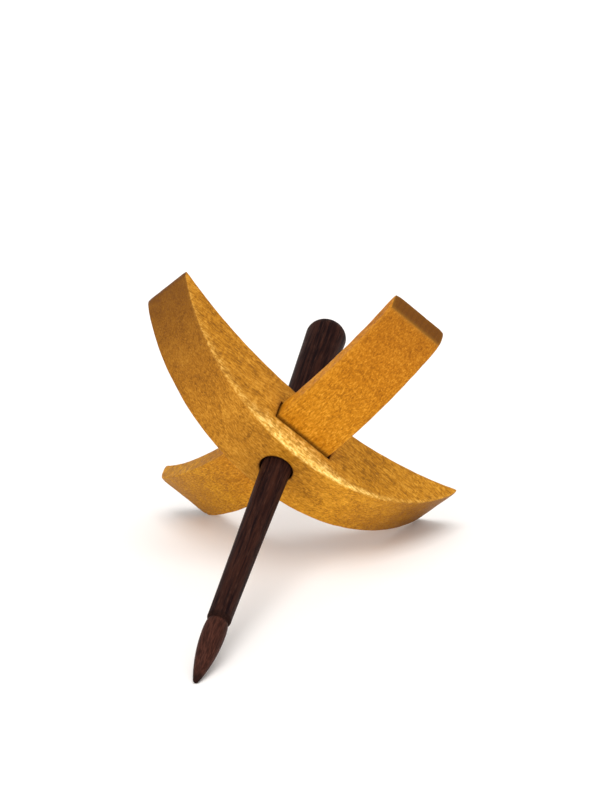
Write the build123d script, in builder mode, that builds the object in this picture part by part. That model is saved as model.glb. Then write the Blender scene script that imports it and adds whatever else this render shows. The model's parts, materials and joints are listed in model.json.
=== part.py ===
"""Turkish drop spindle: two crossed wooden arms on a tapered wooden shaft, lying on a table.

The slim inner arm passes through a mortise in the crescent-shaped outer arm, and the shaft goes
through a bore that both arms share. Its taper wedges in the outer arm's back face. Drawing the
shaft out backwards lets the inner arm slide free.

The spindle's own axes: Z runs along the shaft towards the working tip, X along the outer arm and
Y along the inner arm, from the point where the shaft's axis leaves the outer arm's front face.
The model's axes: Z up from the table, -Y the way the tip points, with the origin on the table
under the middle of the space that the spindle takes up. Millimetres throughout.
"""
import os

from build123d import *

# Outer arm: a crescent, thick at the shaft and nearly sharp at its ends.
outer_half_span = 60.0
outer_width = 21.7
outer_end_width = 20.9
outer_thickness = 23.4
outer_front_drop = 35.0      # how far the front curve falls back by the arm's ends
outer_back_drop = 13.35

# Inner arm: a slat sawn to one gentle curve, with blunt ends.
inner_half_span = 61.75
inner_width = 22.4
inner_end_width = 21.3
inner_thickness = 6.35
inner_depth = 8.4            # from the outer arm's front face to the inner arm's
inner_front_drop = 19.2
inner_back_drop = 19.5

arm_edge = 0.4               # rounding of the arms' long edges and ends
mouth_edge = 0.2             # rounding of the mortise's mouths and the bore's rims

# Mortise: room for the inner arm's thickness, and for the bow of its curve.
mortise_play = 0.15
mortise_side_play = 0.45

# Bore through both arms, and the place on the shaft's taper that wedges in it.
bore_radius = 5.6
seat_clearance = 0.05

# Shaft: thick at the domed butt, with a yarn notch behind an ogive tip. Places along the shaft
# are measured from the outer arm's front face.
butt_radius = 6.86
butt_place = -66.2
dome_depth = 5.7
shoulder_radius = 3.95
shoulder_place = 70.1
shoulder_round = 1.5
notch_radius = 3.15
notch_place = 71.8
bead_start_radius = 3.66
bead_start_place = 73.4
bead_radius = 3.9
bead_place = 77.0
nose_half_width = 1.0        # the blunt round that ends the ogive
nose_height = 0.74
tip_place = 99.25

# Where the shaft's axis leaves the outer arm, behind the middle of the spindle's footprint.
crossing_setback = 12.56

# Rounds of finding the table's slope, each from the last one's touching points.
settle_passes = 4


def arc_radius(half_span, drop):
    """The radius of an arc whose ends lie this much lower than its middle."""
    return (half_span**2 + drop**2) / (2 * drop)


def fall(half_span, drop, distance, inset=0.0):
    """How far such an arc, moved in by the inset, has fallen at this distance from its middle."""
    radius = arc_radius(half_span, drop)
    return radius - ((radius - inset) ** 2 - distance**2) ** 0.5


def arc_across(half_span, middle, drop):
    """An arc over the whole span, with its middle at one height and its ends that much lower."""
    return ThreePointArc((-half_span, middle - drop), (0, middle), (half_span, middle - drop))


def close_ends(first, second):
    """Straight ends between two curves, and the face that the four lines bound."""
    Line(first @ 0, second @ 0)
    Line(first @ 1, second @ 1)


def resting_feet():
    """The three rounds that touch the table, each a centre and a radius, in the spindle's axes."""
    outer_corner = Vector(
        outer_half_span - arm_edge,
        arm_edge - outer_end_width / 2,
        -fall(outer_half_span, outer_front_drop, outer_half_span - arm_edge, arm_edge),
    )
    inner_corner = Vector(
        inner_end_width / 2 - arm_edge,
        arm_edge - inner_half_span,
        -inner_depth - fall(inner_half_span, inner_front_drop, inner_half_span - arm_edge, arm_edge),
    )
    nose_radius = arc_radius(nose_half_width, nose_height)
    nose = Vector(0, 0, tip_place - nose_radius)
    return [(nose, nose_radius), (outer_corner, arm_edge), (inner_corner, arm_edge)]


def resting_pose():
    """The way up from the table in the spindle's axes, and how high its origin lies."""
    up = Vector(-1, 1, 0).normalized()
    for _ in range(settle_passes):
        nose, outer_foot, inner_foot = [centre - up * radius for centre, radius in resting_feet()]
        up = (outer_foot - nose).cross(inner_foot - nose).normalized()
    return up, -up.dot(nose)


# The spindle's axes as they lie in the model: one plane, from which every sketch is placed.
up, crossing_height = resting_pose()
back = (up * up.Z - Vector(0, 0, 1)).normalized()
right = back.cross(up)
spindle = Plane(
    origin=(0, crossing_setback, crossing_height),
    x_dir=(right.X, back.X, up.X),
    z_dir=(right.Z, back.Z, up.Z),
)
shaft_axis = Axis(spindle.origin, spindle.z_dir)
inner_arm_axis = Axis(spindle.origin, spindle.y_dir)
outer_profile = Plane(spindle.origin, x_dir=spindle.x_dir, z_dir=-spindle.y_dir)
inner_profile = Plane(spindle.origin, x_dir=spindle.y_dir, z_dir=spindle.x_dir)

# Mortise
mortise_top = mortise_play - inner_depth
mortise_bottom = -(
    inner_depth + inner_thickness + mortise_play
    + fall(inner_half_span, inner_back_drop, outer_width / 2)
)

# Outer arm: the crescent seen along the inner arm, trimmed to its bowed sides, then pierced.
with BuildPart() as outer_arm:
    with BuildSketch(outer_profile):
        with BuildLine():
            front = arc_across(outer_half_span, 0, outer_front_drop)
            rear = arc_across(outer_half_span, -outer_thickness, outer_back_drop)
            close_ends(front, rear)
        make_face()
    extrude(amount=outer_width, both=True)
    with BuildSketch(spindle):
        with BuildLine():
            left = arc_across(outer_half_span, outer_width / 2, (outer_width - outer_end_width) / 2)
            close_ends(left, mirror(left, about=Plane.XZ))
        make_face()
    extrude(amount=outer_half_span, both=True, mode=Mode.INTERSECT)
    fillet(outer_arm.edges(), arm_edge)
    with BuildSketch(outer_profile):
        with Locations((0, (mortise_top + mortise_bottom) / 2)):
            Rectangle(inner_width + 2 * mortise_side_play, mortise_top - mortise_bottom)
    extrude(amount=outer_width, both=True, mode=Mode.SUBTRACT)
    fillet(outer_arm.edges(Select.LAST).filter_by(inner_arm_axis, reverse=True), mouth_edge)
    with BuildSketch(spindle):
        Circle(bore_radius)
    extrude(amount=outer_half_span, both=True, mode=Mode.SUBTRACT)
    rims = outer_arm.edges(Select.LAST).sort_by(shaft_axis)
    fillet([rims[0], rims[-1]], mouth_edge)
outer_arm.part.label = "outer_arm"

# Inner arm: the slat seen along the outer arm, trimmed to its bowed sides, then bored.
with BuildPart() as inner_arm:
    with BuildSketch(inner_profile):
        with BuildLine():
            front = arc_across(inner_half_span, -inner_depth, inner_front_drop)
            rear = arc_across(inner_half_span, -inner_depth - inner_thickness, inner_back_drop)
            close_ends(front, rear)
        make_face()
    extrude(amount=inner_width, both=True)
    with BuildSketch(Plane(spindle.origin, x_dir=spindle.y_dir, z_dir=spindle.z_dir)):
        with BuildLine():
            left = arc_across(inner_half_span, inner_width / 2, (inner_width - inner_end_width) / 2)
            close_ends(left, mirror(left, about=Plane.XZ))
        make_face()
    extrude(amount=inner_half_span, both=True, mode=Mode.INTERSECT)
    fillet(inner_arm.edges(), arm_edge)
    with BuildSketch(spindle):
        Circle(bore_radius)
    extrude(amount=inner_half_span, both=True, mode=Mode.SUBTRACT)
inner_arm.part.label = "inner_arm"

# Shaft: half of its outline, turned about its axis.
with BuildPart() as shaft:
    with BuildSketch(outer_profile):
        with BuildLine():
            EllipticalCenterArc((0, butt_place), butt_radius, dome_depth, 270, arc_size=90)
            taper = ThreePointArc(
                (butt_radius, butt_place),
                (bore_radius - seat_clearance, -outer_thickness),
                (shoulder_radius, shoulder_place),
            )
            notch = RadiusArc(taper @ 1, (notch_radius, notch_place), -shoulder_round)
            step = Line(notch @ 1, (bead_start_radius, bead_start_place))
            TangentArc((bead_radius, bead_place), step @ 1, tangent=(0, -1))
            ogive = TangentArc(
                (bead_radius, bead_place), (nose_half_width, tip_place - nose_height), tangent=(0, 1)
            )
            nose = TangentArc((0, tip_place), ogive @ 1, tangent=(1, 0))
            Line(nose @ 0, (0, butt_place - dome_depth))
        make_face()
    revolve(axis=shaft_axis)
shaft.part.label = "shaft"

os.makedirs("parts", exist_ok=True)
export_step(outer_arm.part, "parts/outer_arm.step")
export_step(inner_arm.part, "parts/inner_arm.step")
export_step(shaft.part, "parts/shaft.step")
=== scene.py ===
"""A Turkish drop spindle lying on a pale table: two curved arms and a turned shaft.

Each piece is built in millimetres along the spindle's own axes (the outer arm, the inner arm, the
shaft towards its tip) from the point where the shaft leaves the outer arm's front face, and is
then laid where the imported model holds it.
"""

import json
import math

import bmesh
import bpy
import numpy as np
from mathutils import Matrix, Quaternion, Vector, noise


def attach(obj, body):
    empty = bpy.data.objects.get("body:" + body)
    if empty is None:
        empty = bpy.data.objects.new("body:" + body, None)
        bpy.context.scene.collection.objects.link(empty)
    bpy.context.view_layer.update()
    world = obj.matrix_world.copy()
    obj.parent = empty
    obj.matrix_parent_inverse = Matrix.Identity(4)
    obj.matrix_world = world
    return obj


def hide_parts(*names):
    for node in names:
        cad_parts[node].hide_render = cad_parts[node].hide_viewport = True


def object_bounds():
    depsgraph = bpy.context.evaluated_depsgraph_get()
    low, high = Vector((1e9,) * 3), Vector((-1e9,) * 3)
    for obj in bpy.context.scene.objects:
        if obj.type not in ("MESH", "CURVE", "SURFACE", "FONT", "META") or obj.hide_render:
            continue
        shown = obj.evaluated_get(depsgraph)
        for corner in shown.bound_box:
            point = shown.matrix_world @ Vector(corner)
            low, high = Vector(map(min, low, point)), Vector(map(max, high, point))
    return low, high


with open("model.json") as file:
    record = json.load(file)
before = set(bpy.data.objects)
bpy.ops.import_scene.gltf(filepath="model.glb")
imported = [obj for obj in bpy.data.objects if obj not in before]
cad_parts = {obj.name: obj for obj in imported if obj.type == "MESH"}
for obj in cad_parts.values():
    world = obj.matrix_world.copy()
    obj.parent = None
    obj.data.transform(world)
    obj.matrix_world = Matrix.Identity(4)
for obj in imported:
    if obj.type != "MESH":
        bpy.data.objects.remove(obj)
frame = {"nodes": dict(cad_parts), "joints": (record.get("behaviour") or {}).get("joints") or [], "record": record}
cad_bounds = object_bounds()
scene = bpy.context.scene

MM = 0.001
SEED = Vector((11.3, 4.7, 29.1))

# ---------------------------------------------------------------- The part's own sizes, in mm

# The rounding of the arms' long edges, and of the mouths of the mortise and the bores.
ARM_EDGE = 0.4
MOUTH_EDGE = 0.22

BORE_RADIUS = 5.6
MORTISE_HALF = 11.65
MORTISE_TOP = -8.25
MORTISE_BOTTOM = -15.45

# The stretch of the outer arm's front edge that handling has rubbed, and the extra rounding there.
RUBBED_MIDDLE = -2.0
RUBBED_HALF = 44.0
RUBBED_DEPTH = 0.9

# How far below the true surface sanding has left the arms, and turning the shaft, on average.
SANDED_OFF = 0.05
TURNED_OFF = 0.03

# Along the shaft, from the crossing: the ends of each stretch of its outline.
BUTT_RADIUS, BUTT_PLACE, DOME_DEPTH = 6.86, -66.2, 5.7
SEAT_RADIUS, SEAT_PLACE = 5.55, -23.4
SHOULDER_RADIUS, SHOULDER_PLACE, SHOULDER_ROUND = 3.95, 70.1, 1.5
NOTCH_RADIUS, NOTCH_PLACE = 3.15, 71.8
BEAD_START_RADIUS, BEAD_START = 3.66, 73.4
BEAD_RADIUS, BEAD_PLACE = 3.9, 77.0
NOSE_HALF_WIDTH, NOSE_HEIGHT, TIP_PLACE = 1.0, 0.74, 99.25

# ---------------------------------------------------------------- How fine the meshes are

# The size of a quad, and half the side of the square patch of quads around a bore.
QUAD = 0.6
PATCH_HALF = 8.0
PATCH_RINGS = 5

# Cells from a bore's patch to the arm's edge, down the inner arm's sides, and down the outer arm's
# sides above, beside and below the mortise.
RIM_CELLS = 4
INNER_SIDE_CELLS = 8
SIDE_CELLS = (13, 12, 13)

# Steps in the rounding of an arm's edge, and sides to the turned shaft.
ROUND_STEPS = 4
SHAFT_SIDES = 160


class Arc:
    """A curve over an arm's whole span: the height of its middle, and how far its ends fall."""

    def __init__(self, half_span, middle, drop):
        self.middle = middle
        self.radius = (half_span**2 + drop**2) / (2 * drop)

    def height(self, along):
        return self.middle - self.radius + math.sqrt(self.radius**2 - along**2)

    def upright(self, along):
        """How nearly the curve's normal points up here: 1 at its middle."""
        return math.sqrt(1 - (along / self.radius) ** 2)


class Arm:
    """The outline of one arm: its span, its widths, and its front and back curves."""

    def __init__(self, half_span, half_width, end_half_width, front, front_drop, back, back_drop):
        self.half_span = half_span
        self.side = Arc(half_span, half_width, half_width - end_half_width)
        self.front = Arc(half_span, front, front_drop)
        self.back = Arc(half_span, back, back_drop)

    def top(self, along, depth=0.0):
        return self.front.height(along) - depth / self.front.upright(along)

    def bottom(self, along, depth=0.0):
        return self.back.height(along) + depth / self.back.upright(along)


OUTER_ARM = Arm(60.0, 10.85, 10.45, 0.0, 35.0, -23.4, 13.35)
INNER_ARM = Arm(61.75, 11.2, 10.65, -8.4, 19.2, -14.75, 19.5)


# ---------------------------------------------------------------- Where the spindle lies

def node_moments(node):
    """The second moments of a CAD node's volume about the crossing."""
    mesh = frame["nodes"][node].data
    mesh.calc_loop_triangles()
    points = np.zeros(len(mesh.vertices) * 3)
    mesh.vertices.foreach_get("co", points)
    corners = np.zeros(len(mesh.loop_triangles) * 3, int)
    mesh.loop_triangles.foreach_get("vertices", corners)
    points = points.reshape(-1, 3) - np.array(crossing)
    a, b, c = (points[corners.reshape(-1, 3)[:, i]] for i in range(3))
    volume = np.einsum("ij,ij->i", a, np.cross(b, c)) / 6
    total = a + b + c
    outer = sum(np.einsum("i,ij,ik->jk", volume, p, p) for p in (a, b, c, total))
    return outer / 20


shaft_joint = next(j for j in frame["joints"] if j["child"] == "shaft")
notch_mount = next(m for m in frame["record"]["mounts"] if m["name"] == "yarn_notch")
to_tip = -Vector(shaft_joint["axis"]).normalized()
crossing = Vector(notch_mount["pos_m"]) - to_tip * NOTCH_PLACE * MM
moments, directions = np.linalg.eigh(node_moments("outer_arm"))
along_outer = Vector(directions[:, int(np.argmax(moments))])
along_outer = (along_outer - to_tip * along_outer.dot(to_tip)).normalized()
if along_outer.x < 0:
    along_outer.negate()
along_inner = to_tip.cross(along_outer)
LAY = Matrix((along_outer, along_inner, to_tip)).transposed().to_4x4()
LAY.translation = crossing


# ---------------------------------------------------------------- Meshes of quads

def steps(start, end, size):
    """Evenly spaced values from start to end, about this size apart."""
    return [float(v) for v in np.linspace(start, end, max(1, round(abs(end - start) / size)) + 1)]


def chain(*stops):
    """Evenly spaced values, a quad apart, through every one of these stops."""
    values = [stops[0]]
    for start, end in zip(stops, stops[1:]):
        values += steps(start, end, QUAD)[1:]
    return values


class Skin:
    """Quads laid patch by patch, welded where the patches meet."""

    def __init__(self):
        self.bm = bmesh.new()

    def grid(self, rows, hole=None, closed=False):
        """Quads between rows of points. hole(row, column) says which cells to leave out."""
        made = [[self.bm.verts.new(p) for p in row] for row in rows]
        width = len(made[0])
        for i in range(len(made) - 1):
            for j in range(width if closed else width - 1):
                if hole and hole(i, j):
                    continue
                k = (j + 1) % width
                self.bm.faces.new((made[i][j], made[i][k], made[i + 1][k], made[i + 1][j]))

    def finish(self, name):
        bmesh.ops.remove_doubles(self.bm, verts=self.bm.verts, dist=0.001)
        loose = [v for v in self.bm.verts if not v.link_faces]
        bmesh.ops.delete(self.bm, geom=loose, context="VERTS")
        bmesh.ops.recalc_face_normals(self.bm, faces=self.bm.faces)
        mesh = bpy.data.meshes.new(name)
        self.bm.to_mesh(mesh)
        self.bm.free()
        piece = bpy.data.objects.new(name, mesh)
        scene.collection.objects.link(piece)
        return piece


def patch_border():
    """The square patch's border, anticlockwise, in the grid's own steps."""
    line = steps(-PATCH_HALF, PATCH_HALF, QUAD)
    south = [(x, -PATCH_HALF) for x in line[:-1]]
    east = [(PATCH_HALF, y) for y in line[:-1]]
    north = [(-x, PATCH_HALF) for x in line[:-1]]
    west = [(-PATCH_HALF, -y) for y in line[:-1]]
    return south + east + north + west


def bore_patch(skin, height):
    """Fills the square patch on a surface with rings of quads that close on the bore's circle."""
    rows = []
    for share in (k / PATCH_RINGS for k in range(PATCH_RINGS + 1)):
        row = []
        for x, y in patch_border():
            reach = BORE_RADIUS / math.hypot(x, y)
            cx, cy = x * reach, y * reach
            px, py = cx + (x - cx) * share, cy + (y - cy) * share
            row.append((px, py, height(px)))
        rows.append(row)
    skin.grid(rows, closed=True)


def bore_wall(skin, top, bottom):
    """The bore's wall between two surfaces, its lines meeting those of both patches."""
    circle = []
    for x, y in patch_border():
        reach = BORE_RADIUS / math.hypot(x, y)
        circle.append((x * reach, y * reach))
    shares = steps(0, 1, QUAD / abs(top(0) - bottom(0)))
    rows = [[(x, y, top(x) + (bottom(x) - top(x)) * s) for x, y in circle] for s in shares]
    skin.grid(rows, closed=True)


def side_levels(arm, along, mortise):
    """Heights down an arm's side, through the mortise's top and bottom where there is one."""
    top, bottom = arm.top(along, ARM_EDGE), arm.bottom(along, ARM_EDGE)
    if not mortise:
        return [top + (bottom - top) * s for s in steps(0, 1, 1 / INNER_SIDE_CELLS)]
    edge = min(abs(along), MORTISE_HALF)
    edge_top, edge_bottom = arm.top(edge, ARM_EDGE), arm.bottom(edge, ARM_EDGE)
    scale = (top - bottom) / (edge_top - edge_bottom)
    upper = top + (MORTISE_TOP - edge_top) * scale
    lower = top + (MORTISE_BOTTOM - edge_top) * scale
    levels = []
    for start, end, cells in zip((top, upper, lower), (upper, lower, bottom), SIDE_CELLS):
        levels += [start + (end - start) * i / cells for i in range(cells)]
    return levels + [bottom]


def across_lines(half):
    """Places across an arm: even over the bore's patch, then on to the edge."""
    inner = steps(-PATCH_HALF, PATCH_HALF, QUAD)
    rim = [PATCH_HALF + (half - PATCH_HALF) * i / RIM_CELLS for i in range(1, RIM_CELLS + 1)]
    return [-v for v in reversed(rim)] + inner + rim


def patch_cells():
    """Which of the cells across an arm belong to a bore's patch, and how many lines there are."""
    lines = len(across_lines(PATCH_HALF))
    return range(RIM_CELLS, lines - 1 - RIM_CELLS), lines


def section(arm, along, inset, mortise):
    """One closed loop of points round an arm: front, side, back and side, with rounded corners."""
    half = arm.side.height(along)
    columns = across_lines(half - ARM_EDGE)
    levels = side_levels(arm, along, mortise)
    round_size = ARM_EDGE - inset
    turns = [math.radians(90 * i / ROUND_STEPS) for i in range(1, ROUND_STEPS)]
    loop = [(y, arm.top(along, inset)) for y in columns]
    corner = [
        (half - ARM_EDGE + round_size * math.sin(t),
         arm.top(along, ARM_EDGE - round_size * math.cos(t)))
        for t in turns
    ]
    loop += corner
    loop += [(half - inset, z) for z in levels]
    low_corner = [
        (half - ARM_EDGE + round_size * math.cos(t),
         arm.bottom(along, ARM_EDGE - round_size * math.sin(t)))
        for t in turns
    ]
    loop += low_corner
    loop += [(y, arm.bottom(along, inset)) for y in reversed(columns)]
    loop += [(-y, z) for y, z in reversed(low_corner)]
    loop += [(inset - half, z) for z in reversed(levels)]
    loop += [(-y, z) for y, z in reversed(corner)]
    return [(along, y, z) for y, z in loop]


def build_arm(name, arm, mortise):
    """An arm as one closed skin, with its bore and, on the outer arm, its mortise."""
    skin = Skin()
    stops = [-arm.half_span + ARM_EDGE, -PATCH_HALF, PATCH_HALF, arm.half_span - ARM_EDGE]
    if mortise:
        stops = stops[:1] + [-MORTISE_HALF] + stops[1:3] + [MORTISE_HALF] + stops[3:]
    stations = [(x, 0.0) for x in chain(*stops)]
    for i in range(1, ROUND_STEPS + 1):
        turn = math.radians(90 * i / ROUND_STEPS)
        place = arm.half_span - ARM_EDGE + ARM_EDGE * math.sin(turn)
        inset = ARM_EDGE * (1 - math.cos(turn))
        stations.append((place, inset))
        stations.insert(0, (-place, inset))
    patch_columns, columns = patch_cells()
    levels = len(side_levels(arm, 0.0, mortise))
    back_start = columns + levels + 2 * (ROUND_STEPS - 1)
    right_start = columns + ROUND_STEPS - 1
    left_start = back_start + columns + ROUND_STEPS - 1
    mortise_top = SIDE_CELLS[0]
    mortise_bottom = SIDE_CELLS[0] + SIDE_CELLS[1]

    def within(i, half):
        middle = (stations[i][0] + stations[i + 1][0]) / 2
        return abs(middle) < half

    def is_hole(i, j):
        if within(i, PATCH_HALF) and (j in patch_columns or j - back_start in patch_columns):
            return True
        if not mortise or not within(i, MORTISE_HALF):
            return False
        down_right = j - right_start
        down_left = levels - 2 - (j - left_start)
        return any(mortise_top <= down < mortise_bottom for down in (down_right, down_left))

    skin.grid([section(arm, x, inset, mortise) for x, inset in stations], is_hole, closed=True)
    for x, _ in (stations[0], stations[-1]):
        across = across_lines(arm.side.height(x) - ARM_EDGE)
        skin.grid([[(x, y, z) for y in across] for z in side_levels(arm, x, mortise)])
    bore_patch(skin, arm.top)
    bore_patch(skin, arm.bottom)
    if mortise:
        build_mortise(skin, arm)
        bore_wall(skin, arm.top, lambda x: MORTISE_TOP)
        bore_wall(skin, lambda x: MORTISE_BOTTOM, arm.bottom)
    else:
        bore_wall(skin, arm.top, arm.bottom)
    return skin.finish(name)


def build_mortise(skin, arm):
    """The mortise's four walls, with the bore's openings in its top and bottom."""
    places = chain(-MORTISE_HALF, -PATCH_HALF, PATCH_HALF, MORTISE_HALF)
    patch_columns, _ = patch_cells()

    def is_patch(i, j):
        return abs((places[i] + places[i + 1]) / 2) < PATCH_HALF and j in patch_columns

    for z in (MORTISE_TOP, MORTISE_BOTTOM):
        rows = [[(x, y, z) for y in across_lines(arm.side.height(x))] for x in places]
        skin.grid(rows, is_patch)
        bore_patch(skin, lambda x: z)
    mortise_top = SIDE_CELLS[0]
    mortise_bottom = SIDE_CELLS[0] + SIDE_CELLS[1]
    for x in (-MORTISE_HALF, MORTISE_HALF):
        levels = side_levels(arm, x, True)[mortise_top:mortise_bottom + 1]
        skin.grid([[(x, y, z) for y in across_lines(arm.side.height(x))] for z in levels])


def arc_between(start, end, bulge, count):
    """Points on an arc from start to end that leaves the chord by this much in its middle."""
    (r0, z0), (r1, z1) = start, end
    chord = math.hypot(r1 - r0, z1 - z0)
    out_r, out_z = (z1 - z0) / chord, -(r1 - r0) / chord
    radius = (chord**2 / 4 + bulge**2) / (2 * bulge)
    points = []
    for off in np.linspace(-chord / 2, chord / 2, count):
        lift = math.copysign(math.sqrt(radius**2 - off**2), radius) - radius + bulge
        share = off / chord + 0.5
        chord_r, chord_z = r0 + (r1 - r0) * share, z0 + (z1 - z0) * share
        points.append((chord_r + out_r * lift, chord_z + out_z * lift))
    return points


def tangent_bulge(start, end):
    """The bulge of an arc that leaves its start straight along the shaft."""
    (r0, z0), (r1, z1) = start, end
    half_chord = math.hypot(r1 - r0, z1 - z0) / 2
    turn = math.atan2(abs(r1 - r0), abs(z1 - z0))
    return half_chord * math.tan(turn / 2)


def taper_radius(place):
    """The shaft's radius on the long taper: a parabola through the butt, the seat and the shoulder."""
    known = (
        (BUTT_PLACE, BUTT_RADIUS),
        (SEAT_PLACE, SEAT_RADIUS),
        (SHOULDER_PLACE, SHOULDER_RADIUS),
    )
    total = 0.0
    for i, (place_i, radius_i) in enumerate(known):
        share = radius_i
        for j, (place_j, _) in enumerate(known):
            if j != i:
                share *= (place - place_j) / (place_i - place_j)
        total += share
    return total


def shaft_outline():
    """(radius, place) from the butt's end to the very tip."""
    dome = [
        (BUTT_RADIUS * math.sin(t), BUTT_PLACE - DOME_DEPTH * math.cos(t))
        for t in np.linspace(0.0, math.pi / 2, 22)
    ]
    taper = [(taper_radius(z), z) for z in steps(BUTT_PLACE, SHOULDER_PLACE, 0.5)]
    shoulder_chord = math.hypot(SHOULDER_RADIUS - NOTCH_RADIUS, NOTCH_PLACE - SHOULDER_PLACE)
    shoulder_bulge = SHOULDER_ROUND - math.sqrt(SHOULDER_ROUND**2 - shoulder_chord**2 / 4)
    notch = (NOTCH_RADIUS, NOTCH_PLACE)
    shoulder = arc_between((SHOULDER_RADIUS, SHOULDER_PLACE), notch, shoulder_bulge, count=9)
    bead_start, bead = (BEAD_START_RADIUS, BEAD_START), (BEAD_RADIUS, BEAD_PLACE)
    step = [tuple(point) for point in np.linspace(notch, bead_start, 6)]
    swell = arc_between(bead_start, bead, tangent_bulge(bead, bead_start), count=9)
    nose_start = (NOSE_HALF_WIDTH, TIP_PLACE - NOSE_HEIGHT)
    ogive = arc_between(bead, nose_start, tangent_bulge(bead, nose_start), count=48)
    nose_radius = (NOSE_HALF_WIDTH**2 + NOSE_HEIGHT**2) / (2 * NOSE_HEIGHT)
    widest = math.asin(NOSE_HALF_WIDTH / nose_radius)
    nose = [
        (nose_radius * math.sin(t), TIP_PLACE - nose_radius * (1 - math.cos(t)))
        for t in np.linspace(widest, 0.0, 8)
    ]
    outline = dome
    for stretch in (taper, shoulder, step, swell, ogive, nose):
        outline = outline + stretch[1:]
    return outline


def build_shaft(name):
    """The shaft's outline turned about its axis, closed at both ends by a single point."""
    skin = Skin()
    turns = [2 * math.pi * i / SHAFT_SIDES for i in range(SHAFT_SIDES)]
    rows = [[(radius * math.cos(t), radius * math.sin(t), place) for t in turns]
            for radius, place in shaft_outline()]
    skin.grid(rows, closed=True)
    return skin.finish(name)


# ---------------------------------------------------------------- Finishing a piece

def settle(piece, bevel):
    """Rounds a piece's sharp edges where asked, and returns its finished mesh's points in mm."""
    if bevel:
        least_turn = math.radians(38)
        rounding = piece.modifiers.new("rounding", "BEVEL")
        rounding.width = MOUTH_EDGE
        rounding.segments = 3
        rounding.limit_method = "ANGLE"
        rounding.angle_limit = least_turn
        rounding.use_clamp_overlap = True
        depsgraph = bpy.context.evaluated_depsgraph_get()
        finished = bpy.data.meshes.new_from_object(piece.evaluated_get(depsgraph))
        piece.modifiers.clear()
        piece.data = finished
        finished.name = piece.name
    piece.data.shade_smooth()
    return [v.co.copy() for v in piece.data.vertices]


def paint(mesh, name, kind, values):
    """Stores one value, or one vector, for each of a mesh's points."""
    layer = mesh.attributes.new(name, kind, "POINT")
    flat = np.array(values, dtype=np.float32).ravel()
    layer.data.foreach_set("vector" if kind == "FLOAT_VECTOR" else "value", flat)


def hand_sanded(point, salt):
    """How far sanding by hand has left a point above or below the sanded surface, in mm."""
    broad = noise.noise(point * 0.11 + SEED * salt)
    fine = noise.noise(point * 0.55 + SEED * (salt + 1.0))
    return 0.045 * broad + 0.012 * fine


def within_span(arm, along):
    """A place along an arm, kept to the span that its curves cover."""
    return max(-arm.half_span, min(arm.half_span, along))


def edge_nearness(arm, point):
    """1 on an arm's outer edge and 1 at its corner, both falling to 0 within a millimetre or two."""
    x, y, z = point
    along = within_span(arm, x)
    gaps = sorted((
        arm.half_span - abs(along),
        arm.side.height(along) - abs(y),
        min(abs(arm.top(along) - z), abs(z - arm.bottom(along))),
    ))
    return math.exp(-(max(gaps[1], 0.0) / 0.75) ** 2), math.exp(-(max(gaps[2], 0.0) / 1.3) ** 2)


def corner_direction(arm, point):
    """The way out through the corner of an arm nearest to a point."""
    x, y, z = point
    along = within_span(arm, x)
    above = z - (arm.top(along) + arm.bottom(along)) / 2
    return Vector((math.copysign(1, x), math.copysign(1, y), math.copysign(1, above))).normalized()


def rubbed_radius(along):
    """The radius that handling has worn on the outer arm's front edge beside the mortise."""
    share = 1 - min(1.0, (abs(along - RUBBED_MIDDLE) / RUBBED_HALF) ** 2)
    uneven = noise.noise(Vector((along * 0.35, 0.0, 0.0)) + SEED * 9.0)
    return ARM_EDGE + RUBBED_DEPTH * share * share * (1 + 0.5 * uneven)


def rub(arm, point):
    """Rounds the front edge on the +Y side, most of all beside the mortise."""
    x, y, z = point
    along = within_span(arm, x)
    radius = rubbed_radius(along)
    below = radius - (arm.top(along) - z)
    inside = radius - (arm.side.height(along) - y)
    reach = math.hypot(below, inside)
    if min(below, inside) <= 0 or reach <= radius:
        return point.copy()
    keep = 1 - radius / reach
    return Vector((x, y - inside * keep, z - below * keep))


def rubbed_highlight_share(arm, point):
    """How pale a place near the front edge on the +Y side is made: partly wear from handling, partly painted
    highlight on the edge and on the lip beside the mortise.
    """
    x, y, z = point
    along = within_span(arm, x)
    behind_edge = arm.top(along) - z
    from_side = arm.side.height(along) - y
    if from_side > 2.5 or behind_edge > 12:
        return 0.0
    # The pale strip is partly a painted highlight: brightest beside the mortise, faint along the whole edge,
    # widest on the lip at the mortise and towards the -X end.
    beside_mortise = math.exp(-((along - 7.0) / 27.0) ** 4)
    whole_edge = 0.20 * math.exp(-(along / 54.0) ** 4)
    wide_at_mortise = 5.0 * math.exp(-((along + 3.0) / 15.0) ** 2)
    wide_at_end = 1.6 * math.exp(-((along + 40.0) / 16.0) ** 2)
    width = 0.9 + wide_at_mortise + wide_at_end
    on_side = math.exp(-(max(0.0, behind_edge - 0.6) / width) ** 2)
    on_front = math.exp(-(max(0.0, from_side - 0.1) / 0.45) ** 2)
    return max(beside_mortise, whole_edge) * on_side * on_front


def outer_painted_shade(point):
    """How much painted shade darkens the outer arm at, or inside, its mortise and bore."""
    x, y, z = point
    past_end = max(0.0, abs(x) - MORTISE_HALF)
    above_or_below = max(0.0, z - MORTISE_TOP, MORTISE_BOTTOM - z)
    # The painted shade spreads further along the grain, past the mortise's ends, than across it.
    from_mortise = math.hypot(0.45 * past_end, above_or_below)
    from_bore = max(0.0, math.hypot(x, y) - BORE_RADIUS)
    return math.exp(-(min(from_mortise, from_bore) / 0.38) ** 2)


def inner_painted_shade(point):
    """How much painted shade darkens the inner arm where it enters the mortise."""
    outside = max(0.0, abs(point.x) - OUTER_ARM.side.height(point.y))
    spread = 0.62 * (1 + 0.5 * noise.noise(point * 0.4 + SEED * 4.0))
    return 0.9 * math.exp(-(outside / spread) ** 2)


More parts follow.
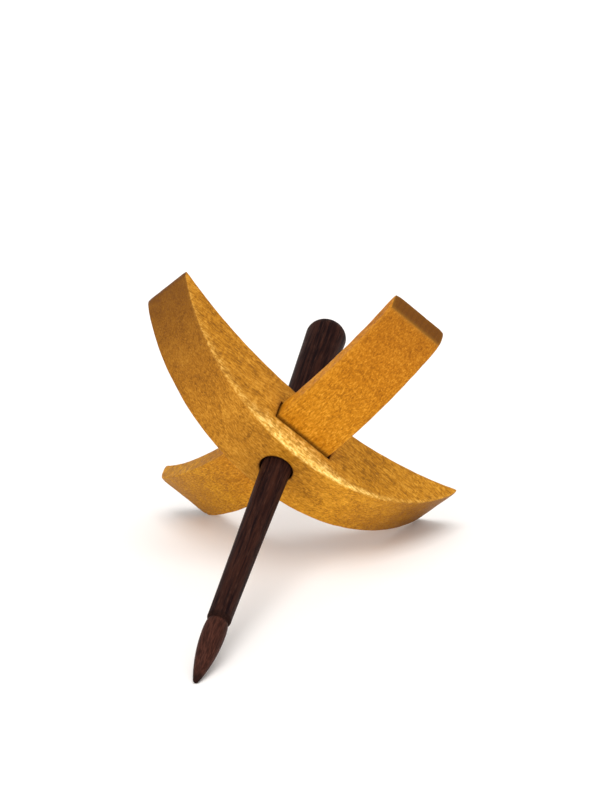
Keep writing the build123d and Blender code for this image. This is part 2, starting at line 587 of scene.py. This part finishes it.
def finish_arm(piece, arm, turn, salt, blunt, painted_shade_of, rubbed_and_highlit):
    """Softens an arm by hand, paints on it what its material reads, and lays it in place."""
    points = settle(piece, bevel=True)
    mesh = piece.data
    normals = [v.normal.copy() for v in mesh.vertices]
    edges, moved = [], []
    for point, normal in zip(points, normals):
        edge, corner = edge_nearness(arm, point)
        wear = max(0.0, noise.noise(point * 0.23 + SEED * (salt + 3.0)) + 0.25)
        depth = hand_sanded(point, salt) - SANDED_OFF - 0.11 * wear * edge
        place = rub(arm, point) if rubbed_and_highlit else point
        moved.append(place + normal * depth - corner_direction(arm, point) * blunt * corner)
        edges.append(edge)
    paint(mesh, "grain", "FLOAT_VECTOR", [tuple(p) for p in points])
    paint(mesh, "end_grain", "FLOAT", [abs(normal.x) for normal in normals])
    paint(mesh, "side_grain", "FLOAT", [abs(normal.y) for normal in normals])
    paint(mesh, "edge", "FLOAT", edges)
    # The rubbed share is pale wear and a painted highlight on the front edge.
    paint(mesh, "rubbed_and_highlit", "FLOAT", [rubbed_highlight_share(arm, p) if rubbed_and_highlit else 0.0 for p in points])
    # Painted shade at the mortise, the bore and where the inner arm enters the mortise.
    paint(mesh, "painted_shade", "FLOAT", [painted_shade_of(p) for p in points])
    for vertex, place in zip(mesh.vertices, moved):
        vertex.co = place
    mesh.transform(LAY @ turn @ Matrix.Scale(MM, 4))
    mesh.update()


def finish_shaft(piece):
    """Leaves the lathe's fine rings on the shaft, paints on its grain, and lays it in place."""
    points = settle(piece, bevel=False)
    mesh = piece.data
    moved = []
    for point in points:
        ring = noise.noise(Vector((point.z * 1.7, 0.0, 0.0)) + SEED * 7.0)
        wave = noise.noise(point * 0.09 + SEED * 8.0)
        radius = math.hypot(point.x, point.y)
        shrink = 1 - (TURNED_OFF - 0.012 * ring - 0.03 * wave) / max(radius, 1.0)
        moved.append(Vector((point.x * shrink, point.y * shrink, point.z)))
    paint(mesh, "grain", "FLOAT_VECTOR", [tuple(p) for p in points])
    for vertex, place in zip(mesh.vertices, moved):
        vertex.co = place
    mesh.transform(LAY @ Matrix.Scale(MM, 4))
    mesh.update()


# ---------------------------------------------------------------- Materials

class Nodes:
    """A short way to write a material's nodes."""

    def __init__(self, name):
        self.material = bpy.data.materials.new(name)
        self.material.use_nodes = True
        self.tree = self.material.node_tree
        self.surface = next(n for n in self.tree.nodes if n.type == "BSDF_PRINCIPLED")

    def link(self, source, target):
        self.tree.links.new(source, target)

    def attribute(self, name):
        node = self.tree.nodes.new("ShaderNodeAttribute")
        node.attribute_name = name
        return node

    def part(self, vector, axis):
        """One coordinate of a vector."""
        node = self.tree.nodes.new("ShaderNodeSeparateXYZ")
        self.link(vector, node.inputs["Vector"])
        return node.outputs[axis]

    def stretched(self, vector, scale, offset=(0.0, 0.0, 0.0)):
        """The same places with each axis scaled, so that a pattern runs long along the grain."""
        node = self.tree.nodes.new("ShaderNodeMapping")
        node.inputs["Scale"].default_value = scale
        node.inputs["Location"].default_value = offset
        self.link(vector, node.inputs["Vector"])
        return node.outputs["Vector"]

    def noise(self, vector, detail=3.0, roughness=0.5, distortion=0.0):
        node = self.tree.nodes.new("ShaderNodeTexNoise")
        node.inputs["Scale"].default_value = 1.0
        node.inputs["Detail"].default_value = detail
        node.inputs["Roughness"].default_value = roughness
        node.inputs["Distortion"].default_value = distortion
        self.link(vector, node.inputs["Vector"])
        return node.outputs["Fac"]

    def growth_rings(self, vector, scale, offset, axis):
        """Slightly wavering rings about an axis."""
        node = self.tree.nodes.new("ShaderNodeTexWave")
        node.wave_type = "RINGS"
        node.rings_direction = axis
        node.inputs["Scale"].default_value = 1.0
        node.inputs["Distortion"].default_value = 1.2
        node.inputs["Detail"].default_value = 2.0
        self.link(self.stretched(vector, scale, offset), node.inputs["Vector"])
        return node.outputs["Fac"]

    def ramp(self, value, low, high, floor=0.0, ceiling=1.0):
        """Stretches the values from low to high over floor to ceiling, and holds them there."""
        node = self.tree.nodes.new("ShaderNodeMapRange")
        node.interpolation_type = "SMOOTHSTEP"
        node.inputs["From Min"].default_value = low
        node.inputs["From Max"].default_value = high
        node.inputs["To Min"].default_value = floor
        node.inputs["To Max"].default_value = ceiling
        self.link(value, node.inputs["Value"])
        return node.outputs["Result"]

    def mix(self, share, first, second, blend="MIX"):
        """Colours mixed by a share; each of the three is a number, a colour or a socket."""
        node = self.tree.nodes.new("ShaderNodeMix")
        node.data_type = "RGBA"
        node.blend_type = blend
        sockets = {"Factor_Float": share, "A_Color": first, "B_Color": second}
        for socket in node.inputs:
            if socket.identifier in sockets:
                given = sockets[socket.identifier]
                if isinstance(given, bpy.types.NodeSocket):
                    self.link(given, socket)
                elif isinstance(given, tuple):
                    socket.default_value = (*given, 1.0)
                else:
                    socket.default_value = given
        return next(o for o in node.outputs if o.identifier == "Result_Color")

    def math(self, operation, first, second=0.0):
        node = self.tree.nodes.new("ShaderNodeMath")
        node.operation = operation
        for socket, given in zip(node.inputs, (first, second)):
            if isinstance(given, bpy.types.NodeSocket):
                self.link(given, socket)
            else:
                socket.default_value = given
        return node.outputs["Value"]

    def about(self, value, share):
        """A noise's swing about its middle value, scaled."""
        return self.math("MULTIPLY", self.math("SUBTRACT", value, 0.5), share)

    def bump(self, height, distance, normal=None):
        node = self.tree.nodes.new("ShaderNodeBump")
        node.inputs["Distance"].default_value = distance
        self.link(height, node.inputs["Height"])
        if normal:
            self.link(normal, node.inputs["Normal"])
        return node.outputs["Normal"]


# Along an arm, in mm: where its low tint, a painted shade, fades away, and where the paleness of its edges, partly
# wear and partly painted highlight, sets in.
LOW_LIGHTING_TINT_PLACE = (-42.0, -12.0)
EDGE_HIGHLIGHT_PLACE = (-45.0, -10.0)

# Colours, as linear red, green and blue.
PORE_BROWN = (0.12, 0.040, 0.004)
END_GRAIN_BROWN = (0.115, 0.038, 0.004)
RING_BROWN = (0.060, 0.020, 0.003)
# Painted shade at the mortise, the bore and the joint.
PAINTED_SHADE_BROWN = (0.105, 0.027, 0.003)
# Edges: partly pale wear, partly painted highlight.
EDGE_HIGHLIGHT_TAN = (0.60, 0.31, 0.05)
# The rubbed front edge's pale wear and painted highlight.
RUBBED_HIGHLIGHT_GOLD = (0.94, 0.56, 0.12)
RUBBED_HIGHLIGHT_CREAM = (1.0, 0.74, 0.27)

SHAFT_BLACK = (0.0085, 0.0032, 0.0035)
SHAFT_BROWN = (0.034, 0.0115, 0.0075)
SHAFT_RING_BROWN = (0.044, 0.0150, 0.0100)
SHAFT_LINE_BROWN = (0.075, 0.033, 0.022)
SHAFT_PORE_BLACK = (0.004, 0.003, 0.003)
TIP_DARK_RED = (0.027, 0.0095, 0.0065)
TIP_RED = (0.078, 0.026, 0.017)
# Painted shade in the notch, and the darker point of the tip.
NOTCH_SHADE_AND_POINT_BLACK = (0.009, 0.004, 0.003)

SHEET_SHADES = (0.93, 0.900, 0.872), (0.95, 0.920, 0.892)


def arm_wood(name, tones, lighting_tints, high_lighting_tint_place, side_tint, cloudy, salt):
    """Oiled golden hardwood: soft growth bands, a curly mottled figure, short flecks, fine pores.

    tones are its dark, middle and light colours. The two tints are painted light and shade: they
    multiply them towards the low and the high end of the arm, on its sides only by the share
    side_tint. cloudy is the strength of the broad bands, and salt shifts the whole figure.
    """
    n = Nodes(name)
    grain = n.attribute("grain").outputs["Vector"]
    end = n.attribute("end_grain").outputs["Fac"]
    side = n.attribute("side_grain").outputs["Fac"]
    edge = n.attribute("edge").outputs["Fac"]
    rubbed_and_highlit = n.attribute("rubbed_and_highlit").outputs["Fac"]
    painted_shade = n.attribute("painted_shade").outputs["Fac"]
    shift = (salt * 13.0, salt * 5.0, salt * 9.0)

    def figure(per_mm, detail, roughness=0.5, distortion=0.0):
        places = n.stretched(grain, per_mm, shift)
        return n.noise(places, detail=detail, roughness=roughness, distortion=distortion)

    bands = figure((0.010, 0.20, 0.36), 2.0, distortion=0.4)
    cloud = figure((0.07, 0.13, 0.13), 2.0, distortion=0.6)
    curl = figure((0.52, 0.27, 0.27), 2.5, roughness=0.55, distortion=1.3)
    streaks = figure((0.50, 1.9, 1.9), 2.0, roughness=0.55, distortion=0.5)
    fibres = figure((0.13, 4.6, 4.6), 3.0, roughness=0.6)
    flecks = n.ramp(figure((0.62, 2.7, 2.7), 1.0), 0.60, 0.74)
    pores = n.ramp(figure((0.50, 8.5, 8.5), 1.0), 0.63, 0.74)

    curl_depth = n.ramp(side, 0.3, 0.9, 0.50, 0.70)
    tone = n.math("ADD", n.about(bands, 0.45 * cloudy), n.about(cloud, 0.40 * cloudy))
    tone = n.math("ADD", tone, n.math("MULTIPLY", n.about(curl, 1.15), curl_depth))
    tone = n.math("ADD", tone, n.about(streaks, 1.30))
    tone = n.math("ADD", n.math("ADD", tone, n.about(fibres, 0.65)), 0.5)
    dark, middle, light = tones
    colour = n.mix(n.ramp(tone, 0.15, 0.55), dark, middle)
    colour = n.mix(n.ramp(tone, 0.48, 0.90), colour, light)
    colour = n.mix(n.math("MULTIPLY", flecks, 0.50), colour, tuple(c * 1.25 for c in light))
    colour = n.mix(n.math("MULTIPLY", pores, 0.50), colour, PORE_BROWN)
    along = n.part(grain, "X")
    untinted = (1.0, 1.0, 1.0)
    low_lighting_tint, high_lighting_tint = lighting_tints
    # Painted light and shade: the tints lighten or darken the arm towards its ends, fully on its front and back
    # faces, by the share side_tint on its sides.
    lighting_tint = n.mix(n.ramp(along, *LOW_LIGHTING_TINT_PLACE), low_lighting_tint, untinted)
    lighting_tint = n.mix(n.ramp(along, *high_lighting_tint_place), lighting_tint, high_lighting_tint)
    lighting_tinted = n.mix(1.0, colour, lighting_tint, "MULTIPLY")
    colour = n.mix(n.ramp(side, 0.1, 0.9, 1.0, side_tint), colour, lighting_tinted)
    colour = n.mix(n.ramp(end, 0.30, 1.05, 0.0, 0.90), colour, END_GRAIN_BROWN)
    rings = n.growth_rings(grain, (0.0, 0.16, 0.16), (0.0, 3.1 + salt, 4.3), "X")
    ringed = n.math("MULTIPLY", n.ramp(end, 0.80, 1.0), n.ramp(rings, 0.30, 0.95, 0.0, 0.18))
    colour = n.mix(ringed, colour, RING_BROWN)
    # Edges paler towards the +X end: partly wear, partly painted highlight.
    pale_edge_highlight = n.math("MULTIPLY", edge, n.ramp(along, *EDGE_HIGHLIGHT_PLACE, 0.0, 0.14))
    colour = n.mix(pale_edge_highlight, colour, EDGE_HIGHLIGHT_TAN)
    # Painted highlight, with pale wear, on the rubbed front edge and the lip: gold, with cream spots.
    spots = n.math("ADD", n.about(curl, 0.8), n.about(streaks, 1.2))
    golden_highlight = n.math("MULTIPLY", rubbed_and_highlit, n.ramp(spots, -0.22, 0.16, 0.35, 1.0))
    colour = n.mix(golden_highlight, colour, RUBBED_HIGHLIGHT_GOLD)
    creamy_highlight = n.math("MULTIPLY", rubbed_and_highlit, n.ramp(spots, 0.0, 0.22, 0.0, 0.8))
    colour = n.mix(creamy_highlight, colour, RUBBED_HIGHLIGHT_CREAM)
    # Painted shade at the mortise's mouth and walls, in the bore, and on the inner arm where it enters the
    # mortise.
    colour = n.mix(n.math("MULTIPLY", painted_shade, 0.72), colour, PAINTED_SHADE_BROWN)
    n.link(colour, n.surface.inputs["Base Color"])

    rough = n.math("ADD", n.ramp(curl, 0.3, 0.7, 0.46, 0.56), n.math("MULTIPLY", pores, 0.2))
    rough = n.math("SUBTRACT", rough, n.math("MULTIPLY", rubbed_and_highlit, 0.12))
    n.link(rough, n.surface.inputs["Roughness"])
    n.surface.inputs["Specular IOR Level"].default_value = 0.08
    relief = n.math("SUBTRACT", n.math("MULTIPLY", fibres, 0.6), pores)
    soft = n.bump(n.math("ADD", streaks, curl), 0.07 * MM)
    n.link(n.bump(relief, 0.045 * MM, soft), n.surface.inputs["Normal"])
    return n.material


def shaft_wood(name):
    """Waxed near-black hardwood streaked with red-brown: redder at the tip, with painted shade in the notch and
    darker towards the point.
    """
    n = Nodes(name)
    grain = n.attribute("grain").outputs["Vector"]
    along = n.part(grain, "Z")
    streaked = n.stretched(grain, (0.55, 0.55, 0.05))
    streaks = n.noise(streaked, detail=4.0, roughness=0.62, distortion=0.6)
    lines = n.noise(n.stretched(grain, (2.6, 2.6, 0.22)), detail=3.0, roughness=0.6)
    pores = n.ramp(n.noise(n.stretched(grain, (6.0, 6.0, 0.7)), detail=2.0), 0.60, 0.72)
    turned = n.noise(n.stretched(grain, (0.02, 0.02, 2.4)), detail=3.0, roughness=0.7)
    layers = n.growth_rings(grain, (0.22, 0.22, 0.004), (1.9, 0.8, 0.0), "Z")

    colour = n.mix(n.ramp(streaks, 0.38, 0.64), SHAFT_BLACK, SHAFT_BROWN)
    colour = n.mix(n.ramp(layers, 0.35, 0.95, 0.0, 0.30), colour, SHAFT_RING_BROWN)
    colour = n.mix(n.ramp(lines, 0.50, 0.74, 0.0, 0.5), colour, SHAFT_LINE_BROWN)
    colour = n.mix(n.math("MULTIPLY", pores, 0.6), colour, SHAFT_PORE_BLACK)
    red = n.mix(n.ramp(lines, 0.36, 0.66), TIP_DARK_RED, TIP_RED)
    at_tip = n.ramp(along, NOTCH_PLACE - 1.5, NOTCH_PLACE + 2.5)
    colour = n.mix(n.math("MULTIPLY", at_tip, 0.8), colour, red)
    # Painted shade in the notch below the shoulder.
    from_notch = n.math("ABSOLUTE", n.math("SUBTRACT", along, NOTCH_PLACE))
    colour = n.mix(n.ramp(from_notch, 0.5, 2.0, 0.6, 0.0), colour, NOTCH_SHADE_AND_POINT_BLACK)
    # Darker towards the point.
    at_point = n.ramp(along, TIP_PLACE - 5.0, TIP_PLACE - 0.5, 0.0, 0.75)
    colour = n.mix(at_point, colour, NOTCH_SHADE_AND_POINT_BLACK)
    n.link(colour, n.surface.inputs["Base Color"])
    n.link(n.ramp(streaks, 0.3, 0.7, 0.52, 0.40), n.surface.inputs["Roughness"])
    n.surface.inputs["Specular IOR Level"].default_value = 0.025
    relief = n.math("SUBTRACT", n.math("MULTIPLY", lines, 0.4), pores)
    n.link(n.bump(relief, 0.04 * MM, n.bump(turned, 0.05 * MM)), n.surface.inputs["Normal"])
    return n.material


def table_top(name):
    """A plain matt white sheet, very slightly uneven in shade."""
    n = Nodes(name)
    place = n.tree.nodes.new("ShaderNodeTexCoord").outputs["Object"]
    patches = n.noise(n.stretched(place, (9.0, 9.0, 9.0)), detail=3.0)
    n.link(n.mix(patches, *SHEET_SHADES), n.surface.inputs["Base Color"])
    n.surface.inputs["Roughness"].default_value = 0.9
    n.surface.inputs["Specular IOR Level"].default_value = 0.1
    return n.material


# ---------------------------------------------------------------- The pieces

# The inner arm is built lying along X like the outer one, and turned to lie along Y.
ALONG_Y = Matrix.Rotation(math.pi / 2, 4, "Z")

outer_arm = build_arm("outer_arm_wood", OUTER_ARM, mortise=True)
finish_arm(
    outer_arm, OUTER_ARM, Matrix.Identity(4), salt=1.0, blunt=0.15, painted_shade_of=outer_painted_shade, rubbed_and_highlit=True
)
outer_arm.data.materials.append(arm_wood(
    "golden_wood_outer",
    tones=((0.235, 0.088, 0.005), (0.425, 0.169, 0.010), (0.60, 0.276, 0.030)),
    # Painted light: the high tint lightens the +X half; painted shade: the low tint darkens the -X end a little.
    lighting_tints=((0.96, 0.91, 0.80), (1.27, 1.32, 0.93)),
    high_lighting_tint_place=(-2.0, 26.0), side_tint=0.25, cloudy=1.0, salt=1.0,
))

inner_arm = build_arm("inner_arm_wood", INNER_ARM, mortise=False)
finish_arm(
    inner_arm, INNER_ARM, ALONG_Y, salt=5.0, blunt=0.35, painted_shade_of=inner_painted_shade, rubbed_and_highlit=False
)
inner_arm.data.materials.append(arm_wood(
    "golden_wood_inner",
    tones=((0.315, 0.107, 0.003), (0.515, 0.192, 0.006), (0.73, 0.325, 0.026)),
    # Painted shade: both tints darken the inner arm towards its ends.
    lighting_tints=((0.90, 0.99, 0.80), (0.85, 0.77, 0.70)),
    high_lighting_tint_place=(18.0, 56.0), side_tint=1.0, cloudy=0.55, salt=2.0,
))

shaft = build_shaft("shaft_turned")
finish_shaft(shaft)
shaft.data.materials.append(shaft_wood("dark_wood"))

for piece, node, body, slot in (
    (outer_arm, "outer_arm", "whorl", "arm_wood"),
    (inner_arm, "inner_arm", "whorl", "arm_wood"),
    (shaft, "shaft", "shaft", "shaft_wood"),
):
    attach(piece, body)
    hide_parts(node)


# ---------------------------------------------------------------- Table, light and camera

def add_table():
    """A pale table top, far wider than the view."""
    half = 3.0  # metres
    mesh = bpy.data.meshes.new("table_top")
    corners = [(-half, -half, 0.0), (half, -half, 0.0), (half, half, 0.0), (-half, half, 0.0)]
    mesh.from_pydata(corners, [], [(0, 1, 2, 3)])
    table = bpy.data.objects.new("table_top", mesh)
    mesh.materials.append(table_top("white_sheet"))
    scene.collection.objects.link(table)


def direction(azimuth, elevation):
    """The way from the spindle to a place around it; azimuth 0 is the side of the tip."""
    a, e = math.radians(azimuth), math.radians(elevation)
    return Vector((math.sin(a) * math.cos(e), -math.cos(a) * math.cos(e), math.sin(e)))


def add_softbox(name, azimuth, elevation, spread, strength):
    """A broad soft light from far off; spread is how wide it looks, in degrees."""
    light = bpy.data.lights.new(name, "SUN")
    light.angle = math.radians(spread)
    light.energy = strength * math.pi
    lamp = bpy.data.objects.new(name, light)
    lamp.rotation_euler = (-direction(azimuth, elevation)).to_track_quat("-Z", "Y").to_euler()
    scene.collection.objects.link(lamp)


def add_camera(azimuth, elevation, roll, distance, aim):
    """A long lens from the side of the tip, held a little off level."""
    lens = bpy.data.cameras.new("camera")
    lens.sensor_width = 36.0
    lens.lens = 225.0
    lens.clip_end = 20.0
    camera = bpy.data.objects.new("camera", lens)
    towards = direction(azimuth, elevation)
    camera.location = aim + towards * distance
    level = (-towards).to_track_quat("-Z", "Y")
    camera.rotation_mode = "QUATERNION"
    camera.rotation_quaternion = level @ Quaternion((0.0, 0.0, 1.0), math.radians(roll))
    scene.collection.objects.link(camera)
    scene.camera = camera


middle = sum((Vector(corner) for corner in cad_bounds), Vector()) / 2
aim = middle + Vector((0.0103, 0.0098, 0.0132))
add_table()
add_softbox("overhead", azimuth=15, elevation=76, spread=44, strength=0.52)
add_softbox("right_fill", azimuth=45, elevation=2, spread=40, strength=0.46)
add_softbox("left_fill", azimuth=-25, elevation=15, spread=40, strength=0.24)
add_camera(azimuth=17.54, elevation=20.44, roll=-2.87, distance=1.6115, aim=aim)

world_strength = 0.68
world = bpy.data.worlds.new("studio")
world.use_nodes = True
background = world.node_tree.nodes["Background"]
background.inputs["Color"].default_value = (1.0, 1.0, 1.0, 1.0)
background.inputs["Strength"].default_value = world_strength
scene.world = world
scene.view_settings.view_transform = "Standard"
